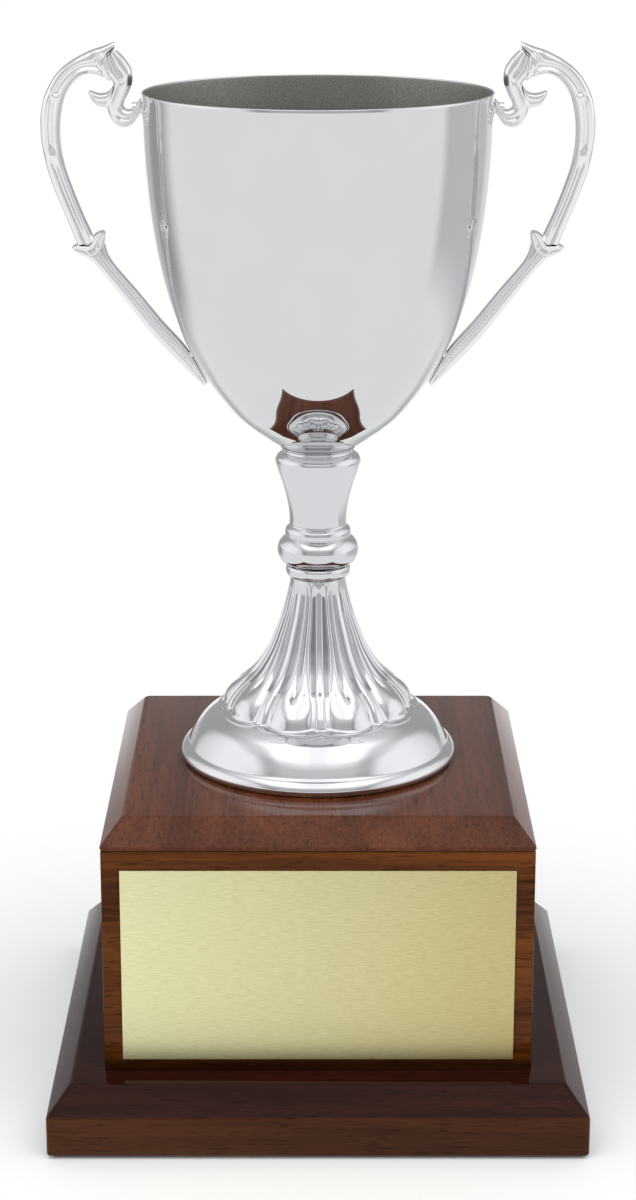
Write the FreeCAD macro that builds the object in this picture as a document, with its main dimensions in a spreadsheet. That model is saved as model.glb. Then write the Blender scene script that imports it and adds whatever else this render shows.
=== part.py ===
import FreeCAD, Part
import Sketcher
import math
import os
from FreeCAD import Placement, Rotation, Vector

# Cup trophy: a two-handled cup on a fluted foot, bolted to a hollow wooden block on a plinth.
# Millimetres. The origin is the centre of the underside, +Z is up and the brass plate faces -Y.

SIZES = [
    ("felt_thickness", 1.0, "felt sheet under the plinth"),
    ("felt_width", 156.0, "side of the square felt sheet"),
    ("plinth_width", 160.0, "side of the square plinth"),
    ("plinth_edge_top", 13.2, "height where the plinth's chamfer starts"),
    ("plinth_top", 21.0, "height of the plinth's flat top"),
    ("plinth_chamfer", 7.0, "how far the plinth's chamfer runs in"),
    ("board_round", 1.6, "rounding of the plinth's and cap's corners"),
    ("block_width", 127.0, "side of the square block"),
    ("wall_thickness", 9.0, "thickness of the four side boards"),
    ("wall_top", 90.6, "height of the joint between side boards and cap"),
    ("cap_overhang", 0.3, "how far the cap stands out past the side boards"),
    ("cap_edge_top", 91.9, "height where the cap's chamfer starts"),
    ("cap_top", 99.1, "height of the cap's flat top"),
    ("cap_chamfer", 6.6, "how far the cap's chamfer runs in"),
    ("glue_block", 12.0, "side of the square sticks glued in the block's corners"),
    ("glue_block_length", 60.0, "length of those sticks"),
    ("base_screw_shank", 2.0, "radius of the base screws"),
    ("base_screw_head", 4.0, "radius of the base screws' countersunk heads"),
    ("base_screw_head_depth", 2.6, "depth of the base screws' heads"),
    ("base_screw_length", 38.0, "length of the base screws"),
    ("base_screw_point", 4.0, "length of the base screws' points"),
    ("plate_width", 116.0, "width of the brass plate"),
    ("plate_height", 60.0, "height of the brass plate"),
    ("plate_bottom", 24.8, "height of the brass plate's lower edge"),
    ("plate_thickness", 0.8, "thickness of the brass plate"),
    ("rod_radius", 3.0, "radius of the tie rod"),
    ("rod_bottom", 81.0, "height of the tie rod's lower end"),
    ("rod_top", 206.0, "height of the tie rod's upper end"),
    ("rod_clearance", 3.2, "radius of the holes that the tie rod passes through"),
    ("nut_circumradius", 5.77, "corner radius of the hexagon nuts"),
    ("nut_height", 5.0, "height of the hexagon nuts"),
    ("washer_radius", 6.0, "outer radius of the small washers"),
    ("washer_thickness", 1.6, "thickness of the washers on the tie rod"),
    ("penny_radius", 12.0, "outer radius of the wide washer under the cap"),
    ("foot_radius", 42.7, "widest radius of the foot"),
    ("foot_bulge_height", 101.4, "height of the foot's widest radius"),
    ("foot_crease_radius", 40.2, "radius of the crease above the foot's rolled edge"),
    ("foot_crease_height", 103.9, "height of that crease"),
    ("lobe_height", 115.2, "height where the gadroons meet the foot's dome"),
    ("foot_ceiling", 138.5, "height of the flat the foot nut pulls against"),
    ("bell_top", 156.3, "height of the top of the fluted bell"),
    ("bell_top_radius", 8.4, "radius of the top of the fluted bell"),
    ("collar_radius", 9.95, "radius of the collar's bead"),
    ("collar_top", 160.2, "height of the top of the collar"),
    ("knop_radius", 12.5, "radius of the knop's belly"),
    ("knop_bead_radius", 10.1, "radius of the bead above the belly"),
    ("knop_top", 173.2, "height of the top of the knop"),
    ("vase_waist", 8.8, "radius of the vase's waist"),
    ("vase_shoulder", 13.0, "radius of the vase's shoulder"),
    ("vase_top", 195.7, "height of the top of the vase"),
    ("seat_flange", 11.8, "radius of the flange under the bowl"),
    ("seat_top", 197.2, "height of the flange under the bowl"),
    ("band_radius", 51.1, "outer radius at the foot of the bowl's straight band"),
    ("band_height", 285.0, "height of the foot of the bowl's straight band"),
    ("bowl_rim_radius", 51.6, "outer radius of the bowl's rim"),
    ("bowl_rim_height", 303.1, "height of the bowl's rim"),
    ("bowl_wall", 1.2, "thickness of the bowl's wall"),
    ("handle_thickness", 6.4, "thickness of the handles, front to back"),
    ("handle_screw_radius", 1.25, "radius of the handle screws"),
    ("handle_screw_head", 2.7, "radius of the handle screws' heads"),
    ("handle_screw_head_height", 1.6, "height of the handle screws' heads"),
    ("handle_washer_radius", 3.4, "radius of the handle screws' washers"),
    ("handle_washer_thickness", 0.5, "thickness of the handle screws' washers"),
    ("upper_screw_height", 298.3, "height of the handles' upper screws"),
    ("lower_screw_height", 225.5, "height of the handles' lower screws"),
]

LOBES = 9
FOOT_TWIST = math.radians(1.8)
UPPER_SCREW_DEPTH = 2.2
LOWER_SCREW_DEPTH = 3.0
WASHER_EASE = 0.05
SCREW_HOLE_EASE = 0.1
PAST_WALL = 3.0
DOME_SHARE = 0.84

# Curved part of the bowl's outline as (radius, height), from the seat up to its nearly straight band.
BOWL_OUTLINE = [(14.6, 199.2), (21.3, 204.1), (28.4, 211.3), (36.2, 223.0), (42.3, 236.1), (46.6, 250.5),
                (49.6, 268.0)]

# Fluted bell: (height, crest radius, valley radius) from the gadroons' ends up to the collar.
BELL_SECTIONS = [(115.2, 31.0, 29.5), (118.0, 29.2, 27.2), (122.4, 25.4, 23.2), (127.0, 20.2, 18.6),
                 (133.0, 15.8, 14.7), (140.0, 12.9, 12.1), (148.0, 10.1, 9.7), (156.3, 8.4, 8.4)]

doc = FreeCAD.newDocument("cup_trophy")
sheet = doc.addObject("Spreadsheet::Sheet", "sizes")
for row, (alias, value, meaning) in enumerate(SIZES, start=1):
    sheet.set(f"A{row}", meaning)
    sheet.set(f"B{row}", str(value))
    sheet.setAlias(f"B{row}", alias)
doc.recompute()

nodes = []


def size(expression):
    """The value of an expression or number, in millimetres."""
    if isinstance(expression, str):
        return float(sheet.evalExpression(expression))
    return float(expression)


def finished(piece, name):
    """Give a piece its name and add it to the pieces that are written out."""
    piece.Label = name
    nodes.append(piece)
    return piece


def new_body(name):
    body = doc.addObject("PartDesign::Body", name + "_body")
    body.AllowCompound = True
    return body


def new_sketch(body, role, height="0"):
    """An empty sketch on one of the body's own planes, moved along its normal."""
    sketch = body.newObject("Sketcher::SketchObject", body.Name + "_sketch")
    plane = [feature for feature in body.Origin.OriginFeatures if feature.Role == role][0]
    sketch.AttachmentSupport = (plane, [""])
    sketch.MapMode = "FlatFace"
    sketch.setExpression("AttachmentOffset.Base.z", height)
    return sketch


def pin_point(sketch, edge, x, y):
    """Hold an edge's start at x, y, each a number or an expression of the sheet."""
    for kind, value, axis in (("DistanceX", x, -2), ("DistanceY", y, -1)):
        if abs(size(value)) < 1e-9:
            sketch.addConstraint(Sketcher.Constraint("PointOnObject", edge, 1, axis))
            continue
        index = sketch.addConstraint(Sketcher.Constraint(kind, -1, 1, edge, 1, size(value)))
        if isinstance(value, str):
            sketch.setExpression(f"Constraints[{index}]", value)


def outline(sketch, stations):
    """A closed loop of stations (x, y) or (x, y, [points the curve to the next one passes])."""
    corners = [Vector(size(station[0]), size(station[1]), 0) for station in stations]
    edges = []
    for index, station in enumerate(stations):
        start = corners[index]
        end = corners[(index + 1) % len(corners)]
        if len(station) > 2:
            curve = Part.BSplineCurve()
            curve.interpolate([start] + [Vector(x, y, 0) for x, y in station[2]] + [end])
        else:
            curve = Part.LineSegment(start, end)
        edges.append(sketch.addGeometry(curve, False))
    for index, edge in enumerate(edges):
        following = edges[(index + 1) % len(edges)]
        sketch.addConstraint(Sketcher.Constraint("Coincident", edge, 2, following, 1))
        pin_point(sketch, edge, stations[index][0], stations[index][1])


def square(sketch, half):
    outline(sketch, [(f"-({half})", f"-({half})"), (half, f"-({half})"), (half, half), (f"-({half})", half)])


def pad(body, sketch, length):
    feature = body.newObject("PartDesign::Pad", body.Name + "_pad")
    feature.Profile = (sketch, [""])
    feature.setExpression("Length", length)
    return feature


def turn(body, sketch, kind="PartDesign::Revolution"):
    feature = body.newObject(kind, body.Name + "_turn")
    feature.Profile = (sketch, [""])
    feature.ReferenceAxis = (sketch, ["V_Axis"])
    feature.Angle = 360.0
    return feature


def turned(name, stations):
    """A body of revolution about Z from stations of (radius, height), its seam at the back."""
    body = new_body(name)
    sketch = new_sketch(body, "XZ_Plane")
    outline(sketch, stations)
    turn(body, sketch)
    body.Placement = Placement(Vector(0, 0, 0), Rotation(Vector(0, 0, 1), 90))
    return body


def cylinder(radius, height, bottom="0"):
    piece = doc.addObject("Part::Cylinder", "cylinder")
    piece.setExpression("Radius", radius)
    piece.setExpression("Height", height)
    piece.setExpression("Placement.Base.z", bottom)
    return piece


def cut(base, tool):
    piece = doc.addObject("Part::Cut", "cut")
    piece.Base = base
    piece.Tool = tool
    return piece


def group(pieces):
    """Separate solids in one node."""
    piece = doc.addObject("Part::Compound", "group")
    piece.Links = pieces
    return piece


def moulded_board(name, half, bottom, edge_top, top, chamfer):
    """A square board whose upper edge is cut to a wide chamfer on all four sides."""
    body = new_body(name)
    lower = new_sketch(body, "XY_Plane", bottom)
    square(lower, half)
    pad(body, lower, f"{edge_top} - {bottom}")
    outer = new_sketch(body, "XY_Plane", edge_top)
    square(outer, half)
    inner = new_sketch(body, "XY_Plane", top)
    square(inner, f"{half} - {chamfer}")
    loft = body.newObject("PartDesign::AdditiveLoft", name + "_chamfer")
    loft.Profile = (outer, [""])
    loft.Sections = [(inner, [""])]
    loft.Ruled = True
    doc.recompute()
    hips = []
    for index, edge in enumerate(loft.Shape.Edges, start=1):
        ends = [vertex.Point for vertex in edge.Vertexes]
        if abs(ends[0].z - ends[1].z) > 1.0:
            hips.append(f"Edge{index}")
    rounding = body.newObject("PartDesign::Fillet", name + "_rounding")
    rounding.Base = (loft, hips)
    rounding.setExpression("Radius", "sizes.board_round")
    doc.recompute()
    return body


# Base: felt, plinth, hollow block and cap.

def make_felt():
    pad_sheet = doc.addObject("Part::Box", "felt")
    pad_sheet.setExpression("Length", "sizes.felt_width")
    pad_sheet.setExpression("Width", "sizes.felt_width")
    pad_sheet.setExpression("Height", "sizes.felt_thickness")
    pad_sheet.setExpression("Placement.Base.x", "-sizes.felt_width / 2")
    pad_sheet.setExpression("Placement.Base.y", "-sizes.felt_width / 2")
    finished(pad_sheet, "felt_pad")


SCREW_PLACE = "sizes.block_width / 2 - sizes.wall_thickness - sizes.glue_block / 2"


def base_screw_blank(name):
    """Four countersunk screws, points up, as one body patterned round the centre."""
    body = new_body(name)
    sketch = new_sketch(body, "XZ_Plane", f"-({SCREW_PLACE})")
    sketch.setExpression("AttachmentOffset.Base.x", SCREW_PLACE)
    head = "sizes.base_screw_head"
    shank = "sizes.base_screw_shank"
    under = "sizes.felt_thickness"
    outline(sketch, [
        ("0", under),
        (head, under),
        (shank, f"{under} + sizes.base_screw_head_depth"),
        (shank, f"{under} + sizes.base_screw_length - sizes.base_screw_point"),
        ("0", f"{under} + sizes.base_screw_length"),
    ])
    screw = turn(body, sketch)
    pattern = body.newObject("PartDesign::PolarPattern", name + "_pattern")
    pattern.Originals = [screw]
    axis = [feature for feature in body.Origin.OriginFeatures if feature.Role == "Z_Axis"][0]
    pattern.Axis = (axis, [""])
    pattern.Angle = 360.0
    pattern.Occurrences = 4
    body.Tip = pattern
    return body


def make_plinth():
    board = moulded_board("plinth", "sizes.plinth_width / 2", "sizes.felt_thickness",
                          "sizes.plinth_edge_top", "sizes.plinth_top", "sizes.plinth_chamfer")
    finished(cut(board, base_screw_blank("plinth_holes")), "plinth")


def make_panels():
    """Four mitred boards: each is the front one turned about Z."""
    half = "sizes.block_width / 2"
    inside = f"{half} - sizes.wall_thickness"
    for name, turned_by in (("front_panel", 0), ("right_panel", 90), ("rear_panel", 180), ("left_panel", 270)):
        body = new_body(name)
        sketch = new_sketch(body, "XY_Plane", "sizes.plinth_top")
        outline(sketch, [(f"-({half})", f"-({half})"), (half, f"-({half})"),
                         (inside, f"-({inside})"), (f"-({inside})", f"-({inside})")])
        pad(body, sketch, "sizes.wall_top - sizes.plinth_top")
        body.Placement = Placement(Vector(0, 0, 0), Rotation(Vector(0, 0, 1), turned_by))
        finished(body, name)


def make_cap():
    board = moulded_board("cap", "sizes.block_width / 2 + sizes.cap_overhang", "sizes.wall_top",
                          "sizes.cap_edge_top", "sizes.cap_top", "sizes.cap_chamfer")
    hole = cylinder("sizes.rod_clearance", "sizes.cap_top - sizes.wall_top + 2", "sizes.wall_top - 1")
    finished(cut(board, hole), "cap_board")


def make_corner_blocks():
    body = new_body("corner_blocks")
    sketch = new_sketch(body, "XY_Plane", "sizes.plinth_top")
    inside = "(sizes.block_width / 2 - sizes.wall_thickness)"
    near = f"({inside} - sizes.glue_block)"
    for across in ("", "-"):
        for along in ("", "-"):
            outline(sketch, [(f"{across}{near}", f"{along}{near}"), (f"{across}{inside}", f"{along}{near}"),
                             (f"{across}{inside}", f"{along}{inside}"), (f"{across}{near}", f"{along}{inside}")])
    pad(body, sketch, "sizes.glue_block_length")
    finished(cut(body, base_screw_blank("corner_holes")), "corner_blocks")


def make_base_screws():
    finished(base_screw_blank("base_screws"), "base_screws")


def make_plate():
    plate = doc.addObject("Part::Box", "plate")
    plate.setExpression("Length", "sizes.plate_width")
    plate.setExpression("Width", "sizes.plate_thickness")
    plate.setExpression("Height", "sizes.plate_height")
    plate.setExpression("Placement.Base.x", "-sizes.plate_width / 2")
    plate.setExpression("Placement.Base.y", "-sizes.block_width / 2 - sizes.plate_thickness")
    plate.setExpression("Placement.Base.z", "sizes.plate_bottom")
    finished(plate, "front_plate")


# Foot and stem, threaded on the tie rod.

BORE = "sizes.rod_clearance"


def lobed_loop(sketch, crest, valley):
    """A closed curve that swells and pinches once for each gadroon, pinched close to the front."""
    middle = (crest + valley) / 2
    swing = (crest - valley) / 2
    front_pinch = FOOT_TWIST - math.pi / 2
    steps = LOBES * 4
    points = []
    for step in range(steps):
        angle = 2 * math.pi * step / steps
        radius = middle - swing * math.cos(LOBES * (angle - front_pinch))
        points.append(Vector(radius * math.cos(angle), radius * math.sin(angle), 0))
    curve = Part.BSplineCurve()
    curve.interpolate(points, PeriodicFlag=True)
    sketch.addGeometry(curve, False)


def make_foot():
    body = new_body("foot")
    dome = new_sketch(body, "XZ_Plane")
    outline(dome, [
        ("0", "sizes.cap_top"),
        ("sizes.foot_radius - 0.8", "sizes.cap_top", [(42.6, 100.1), (42.7, 101.4), (42.0, 102.8)]),
        ("sizes.foot_crease_radius", "sizes.foot_crease_height",
         [(39.5, 106.6), (37.2, 110.4), (34.0, 113.0), (30.5, 114.6)]),
        (26.0, 115.7),
        ("0", 115.7),
    ])
    turn(body, dome)
    sections = []
    for height, crest, valley in BELL_SECTIONS:
        section = new_sketch(body, "XY_Plane", f"{height}")
        lobed_loop(section, crest, valley)
        sections.append(section)
    bell = body.newObject("PartDesign::AdditiveLoft", "bell")
    bell.Profile = (sections[0], [""])
    bell.Sections = [(section, [""]) for section in sections[1:]]
    hollow = new_sketch(body, "XZ_Plane")
    outline(hollow, [
        ("0", "sizes.cap_top"),
        ("sizes.foot_radius - 3.2", "sizes.cap_top", [(37.8, 105.0), (34.5, 110.0), (29.5, 112.5)]),
        (24.5, 114.0, [(19.0, 119.5), (14.5, 127.0), (10.5, 134.5)]),
        ("sizes.washer_radius + 1", "sizes.foot_ceiling"),
        (BORE, "sizes.foot_ceiling"),
        (BORE, "sizes.bell_top + 1"),
        ("0", "sizes.bell_top + 1"),
    ])
    turn(body, hollow, "PartDesign::Groove")
    finished(body, "foot")


def make_stem():
    collar = turned("stem_collar", [
        (BORE, "sizes.bell_top"),
        ("sizes.bell_top_radius", "sizes.bell_top", [(9.3, 157.0), (9.95, 158.5)]),
        ("sizes.collar_radius - 0.1", "sizes.collar_top - 0.5"),
        ("sizes.collar_radius - 0.5", "sizes.collar_top"),
        (BORE, "sizes.collar_top"),
    ])
    finished(collar, "stem_collar")
    knop = turned("knop", [
        (BORE, "sizes.collar_top"),
        ("sizes.bell_top_radius", "sizes.collar_top"),
        ("sizes.bell_top_radius", "sizes.collar_top + 0.6",
         [(11.2, 161.3), (12.1, 163.0), (12.5, 165.3), (11.9, 167.5)]),
        (10.2, 169.2, [(10.1, 170.7), (9.7, 172.0)]),
        ("sizes.vase_waist + 0.1", "sizes.knop_top"),
        (BORE, "sizes.knop_top"),
    ])
    finished(knop, "knop")
    vase = turned("stem_vase", [
        (BORE, "sizes.knop_top"),
        ("sizes.vase_waist", "sizes.knop_top",
         [(8.8, 176.0), (9.7, 181.4), (11.1, 186.4), (12.4, 190.2), (13.0, 193.2), (12.4, 194.9)]),
        ("sizes.vase_shoulder - 2.2", "sizes.vase_top"),
        (BORE, "sizes.vase_top"),
    ])
    finished(vase, "stem_vase")
    seat = turned("bowl_seat", [
        (BORE, "sizes.vase_top"),
        ("sizes.vase_shoulder - 2.6", "sizes.vase_top", [(10.2, 196.2)]),
        ("sizes.seat_flange - 0.3", "sizes.seat_top - 0.5"),
        ("sizes.seat_flange", "sizes.seat_top"),
        (BORE, "sizes.seat_top"),
    ])
    finished(seat, "bowl_seat")


# Bowl, handles and the screws that hold them.

def inset(points, distance):
    """The same outline moved towards the inside of the bowl by the wall's thickness."""
    moved = []
    for index in range(1, len(points) - 1):
        before = points[index - 1]
        after = points[index + 1]
        rise = math.hypot(after[0] - before[0], after[1] - before[1])
        inward = ((before[1] - after[1]) / rise, (after[0] - before[0]) / rise)
        moved.append((points[index][0] + inward[0] * distance, points[index][1] + inward[1] * distance))
    return moved


def wall_at(height):
    """Radius and outward direction (radial, vertical) of the bowl's outside at a height."""
    foot_of_wall = Vector(size("sizes.seat_flange"), 0, size("sizes.seat_top"))
    band = Vector(size("sizes.band_radius"), 0, size("sizes.band_height"))
    rim = Vector(size("sizes.bowl_rim_radius"), 0, size("sizes.bowl_rim_height"))
    if height > band.z:
        curve = Part.LineSegment(band, rim)
    else:
        curve = Part.BSplineCurve()
        curve.interpolate([foot_of_wall] + [Vector(radius, 0, z) for radius, z in BOWL_OUTLINE] + [band])
    low = curve.FirstParameter
    high = curve.LastParameter
    while high - low > 1e-9:
        middle = (low + high) / 2
        if curve.value(middle).z < height:
            low = middle
        else:
            high = middle
    lean = curve.tangent(low)[0]
    return curve.value(low).x, (lean.z, -lean.x)


def bowl_blank(name):
    """The bowl's outside as a full solid, which the handles are cut to fit."""
    return turned(name, [
        ("0", "sizes.seat_top"),
        ("sizes.seat_flange", "sizes.seat_top", BOWL_OUTLINE),
        ("sizes.band_radius", "sizes.band_height"),
        ("sizes.bowl_rim_radius", "sizes.bowl_rim_height"),
        ("0", "sizes.bowl_rim_height"),
    ])


def screw_places():
    """Side and height of each handle screw, and how deep it goes past the bowl's outside."""
    for side in (-1, 1):
        yield side, size("sizes.upper_screw_height"), UPPER_SCREW_DEPTH
        yield side, size("sizes.lower_screw_height"), LOWER_SCREW_DEPTH


def peg(radius, side, height, start, end):
    """A cylinder square to the bowl's wall, from start to end past the wall's outside."""
    wall_radius, outward = wall_at(height)
    direction = Vector(side * outward[0], 0, outward[1])
    piece = doc.addObject("Part::Cylinder", "peg")
    piece.setExpression("Radius", radius)
    piece.Height = end - start
    foot_of_peg = Vector(side * wall_radius, 0, height) + direction * start
    square_on = Rotation(Vector(0, 0, -1), Vector(0, 1, 0), direction, "ZXY")
    piece.Placement = Placement(foot_of_peg, square_on)
    return piece


def washer_face(height):
    """How far inside the wall's outside a flat washer lies on the bowl's curved inside."""
    wall = size("sizes.bowl_wall")
    inner_radius = wall_at(height)[0] - wall
    return -wall - size("sizes.handle_washer_radius") ** 2 / (2 * inner_radius) - WASHER_EASE


def make_bowl():
    floor = "sizes.seat_top + sizes.bowl_wall"
    wall = size("sizes.bowl_wall")
    edge = (size("sizes.seat_flange"), size("sizes.seat_top"))
    band = (size("sizes.band_radius"), size("sizes.band_height"))
    inner = inset([edge] + BOWL_OUTLINE + [band], wall)
    shell = turned("bowl_shell", [
        (BORE, "sizes.seat_top"),
        ("sizes.seat_flange", "sizes.seat_top", BOWL_OUTLINE),
        ("sizes.band_radius", "sizes.band_height"),
        ("sizes.bowl_rim_radius", "sizes.bowl_rim_height"),
        ("sizes.bowl_rim_radius - sizes.bowl_wall", "sizes.bowl_rim_height"),
        ("sizes.band_radius - sizes.bowl_wall", "sizes.band_height", inner[::-1]),
        ("sizes.seat_flange - sizes.bowl_wall / 2", floor),
        (BORE, floor),
    ])
    hole_radius = f"sizes.handle_screw_radius + {SCREW_HOLE_EASE}"
    for side, height, depth in screw_places():
        shell = cut(shell, peg(hole_radius, side, height, -PAST_WALL, PAST_WALL))
    finished(shell, "bowl")


def handle_outline(side):
    """Stations of a handle's outline, front view, with x growing away from the cup."""
    right = [
        (58.8, 317.6, [(65.3, 315.2), (72.2, 311.6), (77.5, 306.7), (80.4, 300.4), (81.3, 292.8),
                       (80.5, 284.2), (77.1, 273.0)]),
        (71.6, 258.9),
        (72.9, 257.4),
        (69.3, 255.1, [(57.8, 242.1), (48.9, 230.6), (40.6, 221.7)]),
        (33.8, 215.2),
        (31.0, 217.0),
        (37.0, 225.4, [(46.5, 235.6), (54.0, 244.8), (60.6, 252.8)]),
        (63.3, 257.2),
        (62.6, 260.9),
        (63.9, 262.1),
        (66.2, 260.9, [(71.9, 274.3), (74.8, 284.2), (75.5, 291.9), (74.7, 299.6), (71.9, 305.0),
                       (68.0, 308.0)]),
        (61.6, 306.7, [(59.7, 305.3), (62.2, 302.5)]),
        (67.0, 303.1, [(65.2, 299.8)]),
        (61.8, 298.7, [(60.2, 294.4), (56.4, 292.8)]),
        (52.0, 297.0),
        (50.0, 297.0),
        (50.0, 302.0),
        (51.7, 301.7, [(53.6, 298.5), (56.7, 299.6), (54.3, 306.5), (56.0, 312.2)]),
        (58.5, 314.6),
    ]
    mirrored = []
    for x, z, *bend in right:
        bend = [[(side * bend_x, bend_z) for bend_x, bend_z in points] for points in bend]
        mirrored.append((side * x, z, *bend))
    return mirrored


def make_handle(name, side):
    body = new_body(name)
    sketch = new_sketch(body, "XZ_Plane", "-sizes.handle_thickness / 2")
    outline(sketch, handle_outline(side))
    pad(body, sketch, "sizes.handle_thickness")
    tools = [bowl_blank(name + "_seat")]
    for screw_side, height, depth in screw_places():
        if screw_side == side:
            tools.append(peg("sizes.handle_screw_radius", side, height, -PAST_WALL, depth))
    finished(cut(body, group(tools)), name)


def make_handle_screws():
    screws = []
    washers = []
    for side, height, depth in screw_places():
        face = washer_face(height)
        under_head = face - size("sizes.handle_washer_thickness")
        top = under_head - size("sizes.handle_screw_head_height")
        screw = doc.addObject("Part::Fuse", "handle_screw")
        screw.Base = peg("sizes.handle_screw_head", side, height, top, under_head)
        screw.Tool = peg("sizes.handle_screw_radius", side, height, under_head, depth)
        screws.append(screw)
        disc = peg("sizes.handle_washer_radius", side, height, under_head, face)
        hole = peg("sizes.handle_screw_radius", side, height, under_head - PAST_WALL, face + PAST_WALL)
        washers.append(cut(disc, hole))
    finished(group(screws), "handle_screws")
    finished(group(washers), "handle_washers")


# The tie rod with its washers and nuts.

def ring(name, radius, bottom):
    """A washer on the tie rod."""
    disc = cylinder(radius, "sizes.washer_thickness", bottom)
    hole = cylinder("sizes.rod_radius", "sizes.washer_thickness", bottom)
    finished(cut(disc, hole), name)


def hexagon(bottom):
    block = doc.addObject("Part::Prism", "hexagon")
    block.Polygon = 6
    block.setExpression("Circumradius", "sizes.nut_circumradius")
    block.setExpression("Height", "sizes.nut_height")
    block.setExpression("Placement.Base.z", bottom)
    return block


def make_rod_set():
    rod = cylinder("sizes.rod_radius", "sizes.rod_top - sizes.rod_bottom", "sizes.rod_bottom")
    finished(rod, "tie_rod")
    floor = "sizes.seat_top + sizes.bowl_wall"
    ring("bowl_washer", "sizes.washer_radius", floor)
    nut_seat = f"{floor} + sizes.washer_thickness"
    dome = doc.addObject("Part::Sphere", "dome")
    dome.setExpression("Radius", f"sizes.nut_circumradius * {DOME_SHARE}")
    dome.setExpression("Placement.Base.z", f"{nut_seat} + sizes.nut_height")
    nut = doc.addObject("Part::Fuse", "dome_nut")
    nut.Base = hexagon(nut_seat)
    nut.Tool = dome
    finished(cut(nut, cylinder("sizes.rod_radius", f"sizes.rod_top - ({nut_seat})", nut_seat)), "bowl_nut")
    for name, face, radius in (("foot", "sizes.foot_ceiling", "sizes.washer_radius"),
                               ("cap", "sizes.wall_top", "sizes.penny_radius")):
        under = f"{face} - sizes.washer_thickness"
        ring(name + "_washer", radius, under)
        nut_bottom = f"{under} - sizes.nut_height"
        hole = cylinder("sizes.rod_radius", "sizes.nut_height", nut_bottom)
        finished(cut(hexagon(nut_bottom), hole), name + "_nut")


make_felt()
make_plinth()
make_panels()
make_cap()
make_corner_blocks()
make_base_screws()
make_plate()
make_foot()
make_stem()
make_bowl()
make_handle("handle_left", -1)
make_handle("handle_right", 1)
make_handle_screws()
make_rod_set()
doc.recompute()

for item in doc.Objects:
    if "Invalid" in item.State or "Error" in item.State:
        raise RuntimeError(f"{item.Label} did not build: {item.State}")
for node in nodes:
    if node.Shape.isNull() or not node.Shape.isValid():
        raise RuntimeError(f"{node.Label} has no valid shape")

os.makedirs("parts", exist_ok=True)
for node in nodes:
    node.Shape.exportStep(f"parts/{node.Label}.step")
    box = node.Shape.BoundBox
    print(f"{node.Label}: {len(node.Shape.Solids)} solids, {node.Shape.Volume:.0f} mm3, "
          f"z {box.ZMin:.1f} to {box.ZMax:.1f}")
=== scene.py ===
import math

import bmesh
import bpy
from mathutils import Matrix, Vector


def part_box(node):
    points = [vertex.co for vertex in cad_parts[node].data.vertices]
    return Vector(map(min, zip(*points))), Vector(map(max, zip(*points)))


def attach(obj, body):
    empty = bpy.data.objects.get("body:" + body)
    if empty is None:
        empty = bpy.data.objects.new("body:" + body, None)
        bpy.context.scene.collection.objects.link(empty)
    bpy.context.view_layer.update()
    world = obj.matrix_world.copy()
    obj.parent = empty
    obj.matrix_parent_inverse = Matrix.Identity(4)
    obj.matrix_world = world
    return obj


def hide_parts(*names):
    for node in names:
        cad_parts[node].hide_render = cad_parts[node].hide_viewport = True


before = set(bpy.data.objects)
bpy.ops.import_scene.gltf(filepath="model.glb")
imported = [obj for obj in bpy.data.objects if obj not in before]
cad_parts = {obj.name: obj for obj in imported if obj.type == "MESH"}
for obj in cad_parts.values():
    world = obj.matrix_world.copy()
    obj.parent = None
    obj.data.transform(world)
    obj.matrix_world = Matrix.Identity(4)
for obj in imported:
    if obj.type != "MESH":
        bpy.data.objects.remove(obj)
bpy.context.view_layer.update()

# A silver cup on a dark wooden base. Lengths are in metres; outlines are written in millimetres.
MM = 0.001
TURN_STEPS = 192


# ---------------------------------------------------------------- shader maths

class Signal:
    """A socket of a finish; arithmetic on it adds Math nodes."""

    def __init__(self, finish, socket):
        self.finish = finish
        self.socket = socket

    def math(self, operation, first, second):
        return self.finish.node("ShaderNodeMath", {"operation": operation}, {0: first, 1: second})

    def __add__(self, other):
        return self.math("ADD", self, other)

    def __radd__(self, other):
        return self.math("ADD", other, self)

    def __sub__(self, other):
        return self.math("SUBTRACT", self, other)

    def __rsub__(self, other):
        return self.math("SUBTRACT", other, self)

    def __mul__(self, other):
        return self.math("MULTIPLY", self, other)

    def __rmul__(self, other):
        return self.math("MULTIPLY", other, self)


class Nodes:
    """A shader node tree being built, for a finish or for the studio's surroundings."""

    def __init__(self, tree):
        self.tree = tree

    def feed(self, socket, value):
        if isinstance(value, Signal):
            self.tree.links.new(value.socket, socket)
        else:
            socket.default_value = value

    def node(self, kind, settings=None, sockets=None, output=0):
        """Add a node: its settings first, then its sockets' values or links."""
        made = self.tree.nodes.new(kind)
        for key, value in (settings or {}).items():
            if key == "stops":
                self.set_stops(made.color_ramp, value)
            else:
                setattr(made, key, value)
        for key, value in (sockets or {}).items():
            self.feed(made.inputs[key], value)
        return Signal(self, made.outputs[output])

    def set_stops(self, ramp, stops):
        while len(ramp.elements) < len(stops):
            ramp.elements.new(1.0)
        for element, (place, color) in zip(ramp.elements, stops):
            element.position = place
            element.color = (*color, 1.0)

    def math_one(self, operation, signal):
        return self.node("ShaderNodeMath", {"operation": operation}, {0: signal})

    def ramp(self, signal, stops):
        return self.node("ShaderNodeValToRGB", {"stops": stops}, {"Fac": signal})

    def mix(self, factor, first, second, blend="MIX"):
        return self.node("ShaderNodeMix", {"data_type": "RGBA", "blend_type": blend, "clamp_factor": True},
                         {0: factor, 6: first, 7: second}, output=2)

    def axes(self, vector):
        """The x, y and z of a vector."""
        split = self.node("ShaderNodeSeparateXYZ", {}, {0: vector}).socket.node
        return [Signal(self, output) for output in split.outputs]


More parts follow.
